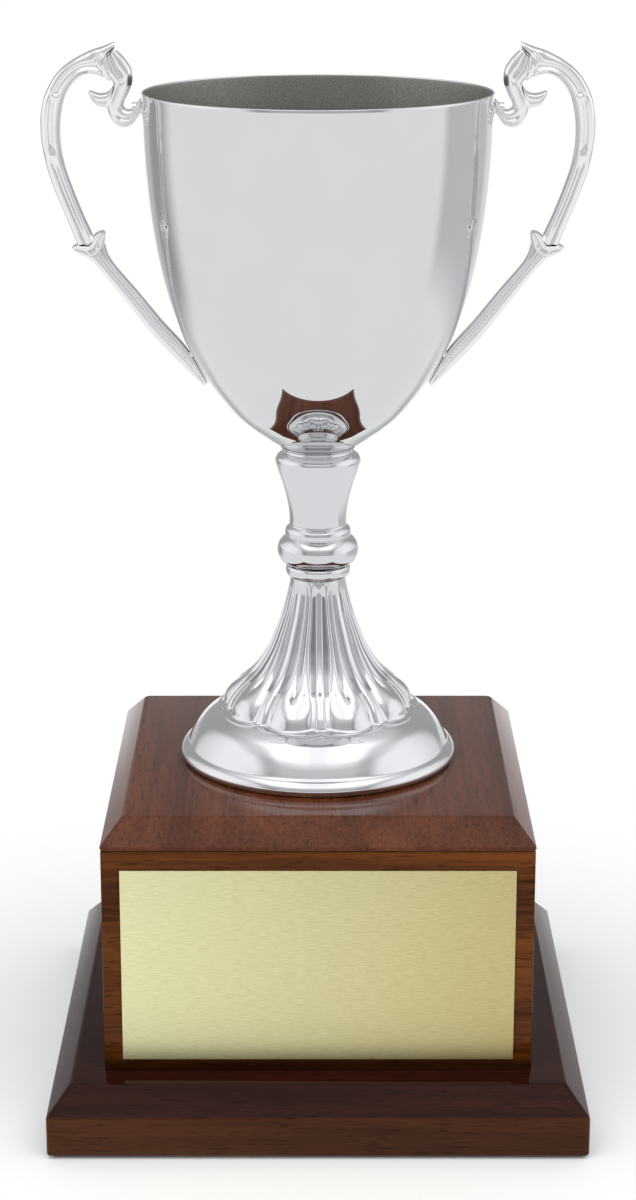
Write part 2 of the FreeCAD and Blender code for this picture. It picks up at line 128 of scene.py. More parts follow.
class Finish(Nodes):
    """A material being built round its Principled shader."""

    def __init__(self, name):
        self.material = bpy.data.materials.new(name)
        self.material.use_nodes = True
        super().__init__(self.material.node_tree)
        self.surface = self.tree.nodes["Principled BSDF"]

    def set(self, **sockets):
        """Feed the Principled shader; underscores stand for spaces."""
        for key, value in sockets.items():
            self.feed(self.surface.inputs[key.replace("_", " ")], value)

    def place(self, scale=(1, 1, 1)):
        """Object coordinates, scaled."""
        coordinates = self.node("ShaderNodeTexCoord", output=3)
        return self.node("ShaderNodeMapping", {}, {"Vector": coordinates, "Scale": scale})

    def noise(self, vector, scale, detail=3.0, roughness=0.5, distortion=0.0):
        return self.node("ShaderNodeTexNoise", {}, {"Vector": vector, "Scale": scale, "Detail": detail,
                                                    "Roughness": roughness, "Distortion": distortion})

    def bump(self, height, strength, distance):
        return self.node("ShaderNodeBump", {}, {"Height": height, "Strength": strength, "Distance": distance})


def between(nodes, value, low, high, result_low, result_high):
    """Smooth step from one result to the other as a value passes from low to high."""
    return nodes.node("ShaderNodeMapRange", {"interpolation_type": "SMOOTHSTEP"},
                      {0: value, 1: low, 2: high, 3: result_low, 4: result_high})


# ---------------------------------------------------------------- finishes

def bright_silver(name, painted_light_factor, roughness, ripple):
    """Polished plate: nearly a mirror, with faint polishing haze."""
    finish = Finish(name)
    haze = finish.noise(finish.place(), 60.0, 4.0)
    fine = finish.noise(finish.place(), 900.0, 2.0)
    shade = finish.ramp(haze, [(0.3, [channel * 0.975 for channel in painted_light_factor]), (0.7, painted_light_factor)])
    finish.set(Base_Color=shade, Metallic=1.0, Roughness=roughness + haze * (roughness * 0.6))
    finish.set(Normal=finish.bump(fine, ripple, 0.00002))
    return finish.material


def foot_silver_with_painted_shade():
    """The foot's bright plate, with painted shade in the channels beside its ribs: a darker base colour
    there.
    """
    finish = Finish("bright_silver_foot")
    haze = finish.noise(finish.place(), 60.0, 4.0)
    # Painted shade: the channels beside the ribs are marked on the mesh and take a dark silver base colour.
    hollow = finish.node("ShaderNodeAttribute", {"attribute_name": "hollow"}, output=2)
    shade = finish.ramp(haze, [(0.3, (0.70, 0.705, 0.72)), (0.7, (0.725, 0.73, 0.745))])
    color = finish.mix(hollow, shade, (0.36, 0.365, 0.38, 1.0))
    finish.set(Base_Color=color, Metallic=1.0, Roughness=0.01 + haze * 0.008)
    finish.set(Normal=finish.bump(finish.noise(finish.place(), 900.0, 2.0), 0.015, 0.00002))
    return finish.material


def satin_inside():
    """The bowl's inside: bead-blasted plate with a fine speckle."""
    finish = Finish("satin_silver_inside")
    speckle = finish.noise(finish.place(), 2600.0, 2.0, 0.7)
    cloud = finish.noise(finish.place(), 70.0, 3.0)
    color = finish.ramp(speckle, [(0.3, (0.22, 0.225, 0.205)), (0.7, (0.42, 0.42, 0.39))])
    finish.set(Base_Color=color, Metallic=0.85, Roughness=0.42 + cloud * 0.14)
    finish.set(Normal=finish.bump(speckle, 0.35, 0.0001))
    return finish.material


def along(grain, stretch):
    """Scale that draws a pattern out along the grain."""
    return {"x": (stretch, 1, 1), "y": (1, stretch, 1)}[grain]


def wood(name, grain, dark, light, lower=None, coat=1.2):
    """Stained, lacquered wood; lower is the (height, rise, factor) of a zone below that height whose colour
    is multiplied by the factor, painted shade where it darkens and painted light where it lightens.
    """
    finish = Finish(name)
    bands = finish.noise(finish.place(along(grain, 0.07)), 60.0, 5.0, 0.6, 0.6)
    fibres = finish.noise(finish.place(along(grain, 0.02)), 700.0, 3.0, 0.6)
    pores = finish.noise(finish.place(along(grain, 0.1)), 1500.0, 1.0, 0.5)
    color = finish.ramp(bands * 0.65 + fibres * 0.35, [(0.36, dark), (0.64, light)])
    open_pores = finish.ramp(pores, [(0.30, (0.5, 0.5, 0.5)), (0.42, (1.0, 1.0, 1.0))])
    color = finish.mix(1.0, color, open_pores, "MULTIPLY")
    # Painted light and shade: the zone below the given height has its colour multiplied by the factor.
    if lower:
        height, rise, painted_light_factor = lower
        _, _, z = finish.axes(finish.place())
        painted_light_zone = between(finish, z, height, height + rise, 1.0, 0.0)
        color = finish.mix(painted_light_zone, color, finish.mix(1.0, color, (*painted_light_factor, 1.0), "MULTIPLY"))
    finish.set(Base_Color=color, Roughness=0.4 + fibres * 0.2, Specular_IOR_Level=0.0)
    finish.set(Coat_Weight=0.95, Coat_Roughness=0.06, Coat_IOR=coat)
    finish.set(Normal=finish.bump(fibres * 0.6 + pores * 0.4, 0.12, 0.0001))
    return finish.material


def brushed_brass():
    """Pale brass sheet, brushed from side to side, with painted shade: darker and deeper in tone towards the
    right and the foot.
    """
    low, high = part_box("front_plate")
    finish = Finish("brushed_brass")
    x, _, z = finish.axes(finish.place())
    strokes = finish.noise(finish.place((0.1, 1, 1)), 2800.0, 3.0, 0.7)
    # Painted shade: a linear gradient darkens the plate towards the right and, a little, towards the bottom.
    painted_brass_shade = (x - low.x) * (0.8 / (high.x - low.x)) + (high.z - z) * (0.1 / (high.z - low.z))
    pale = finish.ramp(strokes, [(0.3, (0.80, 0.78, 0.42)), (0.7, (0.97, 0.96, 0.60))])
    deep = finish.ramp(strokes, [(0.3, (0.52, 0.425, 0.18)), (0.7, (0.66, 0.555, 0.255))])
    finish.set(Base_Color=finish.mix(painted_brass_shade, pale, deep), Metallic=1.0, Roughness=0.36 + strokes * 0.18)
    finish.set(Normal=finish.bump(strokes, 0.2, 0.00003))
    return finish.material


def plated_steel():
    """Zinc-plated hardware."""
    finish = Finish("plated_steel")
    cloud = finish.noise(finish.place(), 300.0, 3.0)
    color = finish.ramp(cloud, [(0.3, (0.50, 0.50, 0.47)), (0.7, (0.66, 0.66, 0.63))])
    finish.set(Base_Color=color, Metallic=1.0, Roughness=0.28 + cloud * 0.15)
    return finish.material


def bare_pine():
    """Unfinished softwood of the hidden corner blocks."""
    finish = Finish("bare_pine")
    rings = finish.noise(finish.place((1, 1, 0.06)), 160.0, 3.0, 0.5, 0.4)
    color = finish.ramp(rings, [(0.35, (0.42, 0.27, 0.13)), (0.65, (0.64, 0.46, 0.26))])
    finish.set(Base_Color=color, Roughness=0.7 + rings * 0.1)
    finish.set(Normal=finish.bump(rings, 0.2, 0.0002))
    return finish.material


def felt_cloth():
    """Short-haired dark felt."""
    finish = Finish("felt")
    hair = finish.noise(finish.place(), 2500.0, 3.0, 0.7)
    patch = finish.noise(finish.place(), 120.0, 3.0)
    color = finish.ramp(hair * 0.7 + patch * 0.3,
                        [(0.3, (0.010, 0.014, 0.012)), (0.7, (0.035, 0.045, 0.040))])
    finish.set(Base_Color=color, Roughness=0.95, Sheen_Weight=0.4)
    finish.set(Normal=finish.bump(hair, 0.6, 0.0003))
    return finish.material


# ---------------------------------------------------------------- mesh helpers

def piece_from(bm, name, materials, smooth_angle=35.0):
    """Store a bmesh as an object at the origin, smooth except across sharp edges."""
    mesh = bpy.data.meshes.new(name)
    bm.to_mesh(mesh)
    bm.free()
    for material in materials:
        mesh.materials.append(material)
    mesh.shade_smooth()
    mesh.set_sharp_from_angle(angle=math.radians(smooth_angle))
    piece = bpy.data.objects.new(name, mesh)
    bpy.context.scene.collection.objects.link(piece)
    return piece


def stand_for(piece, node):
    """The piece rides on the trophy and hides its CAD node."""
    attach(piece, "root")
    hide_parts(node)
    return piece


def refinish(node, material):
    """Give a CAD node that stays in view one finish."""
    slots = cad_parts[node].data.materials
    slots.clear()
    slots.append(material)


def smooth_line(points, steps):
    """Points along a smooth line through the given ones, steps to each span."""
    points = [Vector(point) for point in points]
    ends = [points[0] * 2 - points[1]] + points + [points[-1] * 2 - points[-2]]
    line = []
    for index in range(len(points) - 1):
        before, start, end, after = ends[index:index + 4]
        for step in range(steps):
            t = step / steps
            line.append(0.5 * (2 * start + (end - before) * t
                               + (2 * before - 5 * start + 4 * end - after) * t ** 2
                               + (3 * start - before - 3 * end + after) * t ** 3))
    line.append(points[-1])
    return line


def at(line, share):
    """The point a share of the way along a line of points."""
    place = share * (len(line) - 1)
    index = min(int(place), len(line) - 2)
    return line[index].lerp(line[index + 1], place - index)


def turned(stretches, bottom, steps=TURN_STEPS, soften=0.25 * MM):
    """Spin a closed outline of smooth stretches of (radius, height) round Z."""
    bm = bmesh.new()
    outline = []
    for stretch in stretches:
        line = smooth_line(stretch, 8) if len(stretch) > 2 else [Vector(point) for point in stretch]
        outline += line if not outline else line[1:]
    if (outline[0] - outline[-1]).length < 1e-6:
        outline.pop()
    ring = [bm.verts.new((point.x * MM, 0.0, point.y * MM + bottom)) for point in outline]
    edges = [bm.edges.new((ring[index - 1], ring[index])) for index in range(len(ring))]
    bmesh.ops.spin(bm, geom=ring + edges, cent=(0, 0, 0), axis=(0, 0, 1), angle=2 * math.pi, steps=steps,
                   use_merge=True)
    bmesh.ops.remove_doubles(bm, verts=bm.verts, dist=1e-7)
    bmesh.ops.recalc_face_normals(bm, faces=bm.faces)
    corners = [edge for edge in bm.edges if edge.calc_face_angle(0.0) > math.radians(28)]
    if corners and soften:
        bmesh.ops.bevel(bm, geom=corners, offset=soften, segments=3, profile=0.5, affect="EDGES", material=-1,
                        clamp_overlap=True)
    return bm


# ---------------------------------------------------------------- stem and bowl

BORE = 3.2


def make_stem_collar(silver):
    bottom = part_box("stem_collar")[0].z
    bm = turned([
        [(BORE, 0.0), (8.4, 0.0)],
        [(8.4, 0.0), (9.0, 0.35), (9.7, 1.2), (9.95, 2.3), (9.9, 3.2), (9.6, 3.8)],
        [(9.6, 3.8), (9.2, 3.9)],
        [(9.2, 3.9), (8.5, 3.2)],
        [(8.5, 3.2), (BORE, 3.2)],
    ], bottom, soften=0.12 * MM)
    stand_for(piece_from(bm, "stem_collar_bead", [silver]), "stem_collar")


def make_knop(silver):
    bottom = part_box("knop")[0].z
    bm = turned([
        [(BORE, -0.6), (7.9, -0.6)],
        [(7.9, -0.6), (7.9, 0.4)],
        [(7.9, 0.4), (9.2, 0.45), (10.9, 1.2), (12.0, 2.7), (12.5, 4.9), (12.1, 6.9), (11.0, 8.4),
         (9.95, 9.25)],
        [(9.95, 9.25), (10.1, 9.75), (10.15, 10.6), (9.9, 11.5), (9.3, 12.2), (8.85, 12.6)],
        [(8.85, 12.6), (8.8, 13.0)],
        [(8.8, 13.0), (BORE, 13.0)],
    ], bottom, soften=0.15 * MM)
    stand_for(piece_from(bm, "stem_knop", [silver]), "knop")


def make_stem_vase(silver):
    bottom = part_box("stem_vase")[0].z
    bm = turned([
        [(BORE, 0.0), (8.8, 0.0)],
        [(8.8, 0.0), (8.75, 2.2), (9.1, 5.2), (9.8, 8.6), (10.9, 12.6), (12.2, 16.4), (12.9, 18.9),
         (13.05, 19.7), (12.9, 20.5), (12.3, 21.4), (11.2, 22.2), (10.8, 22.4)],
        [(10.8, 22.4), (BORE, 22.5)],
    ], bottom, soften=0.15 * MM)
    stand_for(piece_from(bm, "stem_waist", [silver]), "stem_vase")


def make_bowl_seat(silver):
    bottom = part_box("bowl_seat")[0].z
    bm = turned([
        [(BORE, -0.1), (10.4, -0.1)],
        [(10.4, -0.1), (10.25, 0.45), (10.6, 0.95), (11.3, 1.2)],
        [(11.3, 1.2), (11.5, 1.5)],
        [(11.5, 1.5), (BORE, 1.5)],
    ], bottom, soften=0.1 * MM)
    stand_for(piece_from(bm, "stem_seat_ring", [silver]), "bowl_seat")


def make_bowl(silver, satin):
    low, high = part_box("bowl")
    wall = 1.2
    edge = 0.32
    rim = high.x / MM
    height = (high.z - low.z) / MM
    outside = [(11.3, 0.0), (14.6, 2.1), (17.9, 4.4), (21.3, 6.9), (24.9, 10.1), (28.4, 14.1),
               (32.5, 19.6), (36.2, 25.8), (39.6, 32.3), (42.4, 39.0), (44.8, 46.3), (46.8, 54.3),
               (48.4, 62.6), (49.6, 71.0), (50.5, 79.6), (51.1, 87.9), (51.4, 96.0), (rim, height - edge)]
    inside = []
    for index in range(1, len(outside) - 1):
        lean = Vector(outside[index + 1]) - Vector(outside[index - 1])
        inside.append(Vector(outside[index]) + Vector((-lean.y, lean.x)).normalized() * wall)
    lip = [(rim, height - edge)]
    for step in range(1, 6):
        angle = math.pi * step / 5
        lip.append((rim - edge + edge * math.cos(angle), height - edge + edge * math.sin(angle)))
    bm = turned([
        [(BORE, 0.0), (11.3, 0.0)],
        outside,
        lip,
        [lip[-1]] + inside[::-1] + [(10.6, wall)],
        [(10.6, wall), (BORE, wall)],
    ], low.z, steps=256, soften=0.0)
    for face in bm.faces:
        middle = face.calc_center_median()
        outward = Vector((middle.x, middle.y, 0.0)).dot(face.normal)
        deep = middle.z < high.z - edge * MM
        face.material_index = 1 if deep and (outward < 0 or face.normal.z > 0.5) else 0
    piece = piece_from(bm, "cup_bowl", [silver, satin])
    stand_for(piece, "bowl")


# ---------------------------------------------------------------- fluted foot

# Ribs run down the bell to a cusp on the dome. Between two ribs a channel lies beside each of them,
# and the two pillows that meet at a crease swell into one bulb at the bottom.
LOBES = 9
TWIST = math.radians(1.8)
HALF_LOBE = math.pi / LOBES
RIB_STEPS = 6
CHANNEL_STEPS = 4
PILLOW_STEPS = 12
HALF_STEPS = RIB_STEPS + CHANNEL_STEPS + PILLOW_STEPS

# Height, crest radius, pillow relief, rib relief, half width of the rib, channel's outer edge, bulb share.
BELL = [(156.3, 8.4, 0.0, 0.0, 0.9, 1.5, 0.0), (154.6, 8.65, 0.0, 0.05, 0.9, 1.5, 0.0),
        (152.3, 9.1, 0.35, 0.3, 1.0, 1.8, 0.0), (148.5, 10.0, 0.55, 0.5, 1.1, 2.3, 0.0),
        (144.6, 11.1, 0.7, 0.55, 1.15, 2.6, 0.0), (139.5, 13.0, 0.85, 0.6, 1.2, 2.8, 0.0),
        (134.4, 15.1, 1.0, 0.6, 1.25, 2.9, 0.0), (129.2, 18.2, 1.15, 0.65, 1.3, 3.0, 0.0),
        (126.2, 20.7, 1.2, 0.7, 1.4, 2.95, 0.05), (124.2, 23.0, 1.3, 0.8, 1.55, 2.8, 0.3),
        (122.6, 25.0, 1.9, 1.0, 1.75, 2.4, 0.8), (120.8, 27.0, 2.3, 1.1, 2.1, 2.4, 1.0),
        (119.0, 28.5, 2.4, 1.1, 2.5, 2.75, 1.0), (117.6, 29.2, 2.2, 1.0, 2.75, 2.95, 1.0),
        (116.4, 29.5, 1.8, 0.9, 2.9, 3.1, 1.0)]
DOME = [(26.0, 116.0), (29.0, 115.2), (31.5, 114.1), (34.5, 112.2), (36.9, 109.7), (38.6, 107.2),
        (39.7, 105.2), (40.3, 103.9)]
RIM = [(40.3, 103.9), (41.2, 103.4), (42.2, 102.4), (42.7, 101.2), (42.5, 100.1), (41.9, 99.3),
       (41.3, 99.1)]
HOLLOW = [(39.6, 99.1), (37.8, 104.0), (35.0, 109.4), (30.0, 112.4), (24.5, 114.0), (18.6, 120.5),
          (14.2, 127.5), (10.6, 134.5), (7.2, 138.5), (BORE, 138.5), (BORE, 148.0), (BORE, 156.3)]
CUSP_RADIUS = 29.5
LOBE_RADIUS = 31.0
LIP_HEIGHT = 0.5
BELL_ROWS = 72
PAINTED_SHADE_ROWS = (11, 46)
LIP_ROWS = 8
DOME_ROWS = 24
RIM_ROWS = 14
LIP_ROLL = 0.25
SEAM_SINK = 0.05


def lobe_column(column):
    """How many steps a column is from the middle of its nearest rib, with its sign, and that rib's angle."""
    rib, step = divmod(column + HALF_STEPS, 2 * HALF_STEPS)
    return step - HALF_STEPS, rib * 2 * HALF_LOBE + TWIST - math.pi / 2


def bell_relief(steps, radius, pillow, rib, rib_half, channel, bulb):
    """Angle from the rib's middle and relief of the bell, the given steps away from that middle."""
    half_arc = radius * HALF_LOBE
    channel = min(channel, 0.62 * half_arc)
    rib_half = min(rib_half, 0.6 * channel)
    if steps <= RIB_STEPS:
        share = steps / RIB_STEPS
        return rib_half * share / radius, rib * (1 - share ** 2.4) ** 0.5
    if steps <= RIB_STEPS + CHANNEL_STEPS:
        share = (steps - RIB_STEPS) / CHANNEL_STEPS
        return (rib_half + (channel - rib_half) * share) / radius, 0.0
    share = (steps - RIB_STEPS - CHANNEL_STEPS) / PILLOW_STEPS
    ridge = math.sin(math.pi * min(share, 0.999)) ** 0.7
    swell = math.sin(math.pi / 2 * share) ** 0.8
    return (channel + (half_arc - channel) * share) / radius, pillow * (ridge + (swell - ridge) * bulb)


def dome_height(radius, dome):
    for first, second in zip(dome, dome[1:]):
        if radius <= second.x:
            share = (radius - first.x) / (second.x - first.x)
            return first.y + (second.y - first.y) * share
    return dome[-1].y


def make_foot(silver):
    """A plain tube is spun from a loop with one vertex for each row, and its rows are then shaped."""
    lines = [smooth_line([(station[0], station[index]) for station in BELL], 8) for index in range(1, 7)]
    dome = smooth_line(DOME, 8)
    rim = smooth_line(RIM, 6)

    def bell_row(share):
        height = at(lines[0], share).x
        crest, pillow, rib, rib_half, channel, bulb = [at(line, share).y for line in lines]
        valley = crest - pillow
        bulb = min(max(bulb, 0.0), 1.0)

        def shaped(steps):
            angle, relief = bell_relief(steps, valley, pillow, rib, rib_half, channel, bulb)
            return angle, valley + relief, height
        return shaped

    wall_foot = bell_row(1.0)

    def lip_radius(angle):
        return CUSP_RADIUS + (LOBE_RADIUS - CUSP_RADIUS) * (1 - (1 - angle / HALF_LOBE) ** 3)

    def lip_row(share):
        def shaped(steps):
            angle, radius, height = wall_foot(steps)
            edge = lip_radius(angle)
            edge_height = dome_height(edge, dome) + LIP_HEIGHT
            if share <= 0.5:
                sweep = share * math.pi
                return (angle, radius + (edge - radius) * (1 - math.cos(sweep)),
                        height + (edge_height - height) * math.sin(sweep))
            sweep = (share - 0.5) * math.pi
            return (angle, edge + LIP_ROLL * math.sin(2 * sweep),
                    edge_height - (LIP_HEIGHT + SEAM_SINK) * (1 - math.cos(sweep)))
        return shaped

    def dome_row(share):
        def shaped(steps):
            angle = wall_foot(steps)[0]
            start = lip_radius(angle)
            radius = start + (DOME[-1][0] - start) * share
            return angle, radius, dome_height(radius, dome) - (SEAM_SINK if share == 0 else 0.0)
        return shaped

    def plain_row(point):
        return lambda steps: (wall_foot(steps)[0], point.x, point.y)

    rows = [bell_row(index / BELL_ROWS) for index in range(BELL_ROWS + 1)]
    rows += [lip_row(index / LIP_ROWS) for index in range(1, LIP_ROWS + 1)]
    rows += [dome_row(index / DOME_ROWS) for index in range(1, DOME_ROWS + 1)]
    rows += [plain_row(at(rim, index / RIM_ROWS)) for index in range(1, RIM_ROWS + 1)]
    rows += [plain_row(Vector(point)) for point in HOLLOW]

    bm = bmesh.new()
    row_layer = bm.verts.layers.int.new("row")
    loop = []
    for index in range(len(rows)):
        angle = 2 * math.pi * index / len(rows)
        vert = bm.verts.new((2 + math.cos(angle), 0.0, math.sin(angle)))
        vert[row_layer] = index
        loop.append(vert)
    edges = [bm.edges.new((loop[index - 1], loop[index])) for index in range(len(loop))]
    columns = 2 * LOBES * HALF_STEPS
    bmesh.ops.spin(bm, geom=loop + edges, cent=(0, 0, 0), axis=(0, 0, 1), angle=2 * math.pi, steps=columns,
                   use_merge=True)
    channel_shade_layer = bm.verts.layers.float.new("hollow")
    for vert in bm.verts:
        column = round(math.atan2(vert.co.y, vert.co.x) / (2 * math.pi) * columns) % columns
        steps, rib_angle = lobe_column(column)
        in_channel = RIB_STEPS <= abs(steps) < RIB_STEPS + CHANNEL_STEPS
        beside_rib = PAINTED_SHADE_ROWS[0] <= vert[row_layer] <= PAINTED_SHADE_ROWS[1]
        # Channel vertices beside the ribs are marked here to get painted shade in the foot's finish.
        vert[channel_shade_layer] = 1.0 if in_channel and beside_rib else 0.0
        away, radius, height = rows[vert[row_layer]](abs(steps))
        angle = rib_angle + math.copysign(away, steps)
        vert.co = Vector((radius * math.cos(angle), radius * math.sin(angle), height)) * MM
    bmesh.ops.recalc_face_normals(bm, faces=bm.faces)
    stand_for(piece_from(bm, "fluted_foot", [silver], 40.0), "foot")


# ---------------------------------------------------------------- handles

# A limb is lofted between its outer and its inner edge. Edges are (distance from the cup's axis, height).

BAND_OUTER = [(58.8, 317.5), (60.1, 317.0), (61.9, 316.3), (63.7, 315.7), (65.3, 315.2), (66.9, 314.6),
              (68.5, 313.8), (70.6, 312.7), (72.6, 311.4), (74.7, 309.8), (77.1, 307.1), (79.0, 303.9),
              (80.3, 300.7), (81.1, 296.7), (81.3, 293.1), (81.1, 288.5), (79.9, 281.6), (77.7, 274.5),
              (74.8, 267.2), (71.2, 258.2)]
BAND_INNER = [(58.9, 317.2), (59.2, 315.2), (60.9, 313.2), (62.4, 311.4), (62.5, 309.4), (62.1, 307.1),
              (64.1, 307.7), (66.5, 308.1), (68.7, 307.6), (70.5, 306.3), (72.3, 304.2), (73.7, 301.7),
              (74.6, 298.7), (75.2, 295.1), (75.4, 292.1), (75.3, 287.9), (74.3, 281.6), (72.0, 274.5),
              (69.2, 267.2), (65.7, 259.4)]
SCROLL_OUTER = [(58.6, 315.0), (57.0, 313.5), (55.6, 311.8), (54.4, 309.8), (54.0, 307.7), (54.2, 305.3),
                (55.1, 302.7), (56.2, 300.5), (56.7, 299.1), (56.4, 298.3), (55.3, 297.9), (54.0, 298.4),
                (52.9, 299.7), (51.6, 301.4)]
SCROLL_INNER = [(62.2, 312.4), (61.9, 310.0), (61.5, 307.7), (60.3, 306.3), (59.7, 305.1), (60.1, 303.7),
                (60.9, 301.9), (61.5, 300.1), (61.6, 298.1), (60.8, 295.7), (59.1, 293.4), (56.7, 292.7),
                (54.1, 293.7), (51.9, 296.7)]
CURL_TOP = [(59.5, 305.1), (61.0, 303.2), (62.8, 302.6), (64.4, 302.7), (65.7, 303.1), (66.5, 303.3),
            (66.9, 303.1)]
CURL_UNDER = [(61.2, 297.6), (62.5, 298.4), (63.9, 298.7), (65.1, 299.2), (66.0, 300.4), (66.7, 301.8),
              (67.0, 302.8)]
SPUR_OUTER = [(61.2, 314.0), (60.9, 311.8), (60.6, 309.8), (60.2, 308.0), (60.0, 306.4)]
SPUR_INNER = [(65.2, 312.2), (64.8, 310.4), (63.9, 308.8), (62.7, 307.4), (61.2, 306.2)]
COLLAR_UPPER = [(72.8, 257.7), (72.1, 258.2), (71.0, 258.5), (69.5, 258.5), (68.0, 258.4), (67.3, 259.2),
                (66.7, 260.4), (66.0, 261.5), (65.0, 262.1), (64.1, 262.3), (63.6, 262.2)]
COLLAR_LOWER = [(72.8, 257.3), (72.2, 256.5), (70.7, 255.4), (68.7, 254.6), (66.9, 254.2), (65.0, 255.0),
                (63.6, 256.9), (63.0, 258.9), (62.7, 260.6), (62.8, 261.6), (63.3, 262.1)]
ARM_OUTER = [(71.6, 256.9), (68.2, 254.3), (64.0, 249.9), (57.8, 242.1), (48.9, 230.6), (40.6, 221.7),
             (34.0, 215.3)]
ARM_INNER = [(63.0, 258.6), (61.9, 254.9), (59.6, 251.4), (54.0, 244.8), (46.5, 235.6), (39.1, 227.2),
             (33.2, 216.8)]


def cast_section(ridges, edge=0.14):
    """Half thickness across a limb: ridges smoothed over, rolled off at both edges."""
    line = smooth_line(ridges, 6)

    def height(across):
        body = line[-1].y
        for first, second in zip(line, line[1:]):
            if across <= second.x:
                share = (across - first.x) / max(1e-9, second.x - first.x)
                body = first.y + (second.y - first.y) * share
                break
        roll = 1 - min(1.0, min(across, 1 - across) / edge)
        return body * math.sqrt(max(0.0, 1 - roll ** 2))
    return height


def faded(plain, cut, strength):
    """A section that passes from plain to cut by a strength that varies along the limb."""
    return lambda share, across: plain(across) + (cut(across) - plain(across)) * strength(share)


ROUND = cast_section([(0.0, 0.55), (0.2, 0.9), (0.5, 1.0), (0.8, 0.88), (1.0, 0.5)], 0.2)
BAND_CUT = cast_section([(0.0, 0.62), (0.12, 0.86), (0.28, 1.0), (0.35, 0.93), (0.42, 0.74), (0.54, 0.7),
                         (0.66, 0.84), (0.76, 0.95), (0.86, 0.78), (1.0, 0.5)], 0.12)
SCROLL_CUT = cast_section([(0.0, 0.6), (0.14, 0.92), (0.34, 1.0), (0.48, 0.74), (0.56, 0.58), (0.64, 0.92),
                           (0.8, 0.95), (1.0, 0.6)], 0.16)
CRESCENT_CUT = cast_section([(0.0, 0.6), (0.2, 0.95), (0.42, 1.02), (0.5, 0.74), (0.6, 0.82), (0.7, 0.92),
                             (0.77, 0.66), (0.88, 0.7), (1.0, 0.5)], 0.12)
CURL_CUT = cast_section([(0.0, 0.6), (0.2, 0.95), (0.55, 0.98), (0.68, 0.62), (0.8, 0.72), (1.0, 0.5)], 0.16)
COLLAR_CUT = cast_section([(0.0, 0.6), (0.2, 1.0), (0.42, 0.9), (0.6, 0.62), (0.74, 0.86), (1.0, 0.6)], 0.16)
ARM_CUT = cast_section([(0.0, 0.5), (0.14, 0.76), (0.26, 0.94), (0.33, 0.86), (0.42, 0.6), (0.54, 0.58),
                        (0.63, 0.82), (0.72, 0.96), (0.82, 0.8), (1.0, 0.55)], 0.12)
BAND_SPANS = len(BAND_OUTER) - 1
RIDGE_START = 2.6
RIDGE_GAPS = (11.45, 15.6)
BAND_BEADS = ((0.15, 0.585), (0.62, 0.805), (0.84, 0.985))
BAND_BEAD_ACROSS = 0.35
ARM_BEADS = (0.31, 0.71)
ARM_BEAD_ENDS = (0.06, 0.9)
UPPER_BOSS = ((51.5, 0, 298.3), (1, 0, 0), 2.9, 1.8)
LOWER_BOSS = ((37.3, 0, 225.5), (0.9, 0, -0.44), 3.4, 1.35)


def band_strength(share):
    """The band's ridge starts below the leaf and breaks off at two gaps."""
    place = share * BAND_SPANS
    gap = min(abs(place - gap_place) for gap_place in RIDGE_GAPS)
    return max(0.0, min(1.0, place - RIDGE_START)) * min(1.0, max(0.0, gap - 0.12) / 0.25)


def scroll_section(share, across):
    """Two lobes near the leaf, plain in the middle, and nested crescents near the cup."""
    upper = ROUND(across) + (SCROLL_CUT(across) - ROUND(across)) * max(0.0, min(1.0, (0.36 - share) / 0.1))
    return upper + (CRESCENT_CUT(across) - upper) * max(0.0, min(1.0, (share - 0.66) / 0.1))


def rising(start, middle, end, rise=0.1, fall=0.2):
    """Half thickness along a limb that starts and ends thinner."""
    def depth(share):
        up = min(1.0, share / rise)
        down = min(1.0, (1 - share) / fall)
        return (start + (middle - start) * math.sin(up * math.pi / 2)
                - (middle - end) * (1 - math.sin(down * math.pi / 2)))
    return depth


def next_ring(bm, ring, edges):
    """Extrude a ring; return the new ring, its vertices in the same order, and its edges."""
    made = bmesh.ops.extrude_edge_only(bm, edges=edges)["geom"]
    verts = {item for item in made if isinstance(item, bmesh.types.BMVert)}
    made_edges = [item for item in made
                  if isinstance(item, bmesh.types.BMEdge) and verts.issuperset(item.verts)]
    made_ring = [next(edge.other_vert(vert) for edge in vert.link_edges if edge.other_vert(vert) in verts)
                 for vert in ring]
    return made_ring, made_edges


def limb(bm, outer, inner, section, thickness, spans=6, across_steps=44):
    """Loft a cast limb between its outer and inner edges, alike on its front and its back."""
    outer_line = smooth_line(outer, spans)
    inner_line = smooth_line(inner, spans)
    ring = bmesh.ops.create_circle(bm, segments=across_steps * 2, radius=1.0)["verts"]
    edges = list({edge for vert in ring for edge in vert.link_edges})
    bmesh.ops.contextual_create(bm, geom=ring)
    for index in range(len(outer_line)):
        if index:
            ring, edges = next_ring(bm, ring, edges)
        share = index / (len(outer_line) - 1)
        depth = thickness(share)
        for place, vert in enumerate(ring):
            across = (1 - math.cos(math.pi * place / across_steps)) / 2
            point = outer_line[index].lerp(inner_line[index], across)
            height = section(share, across) * depth
            vert.co = Vector((point.x, height if place > across_steps else -height, point.y))
    bmesh.ops.contextual_create(bm, geom=ring)


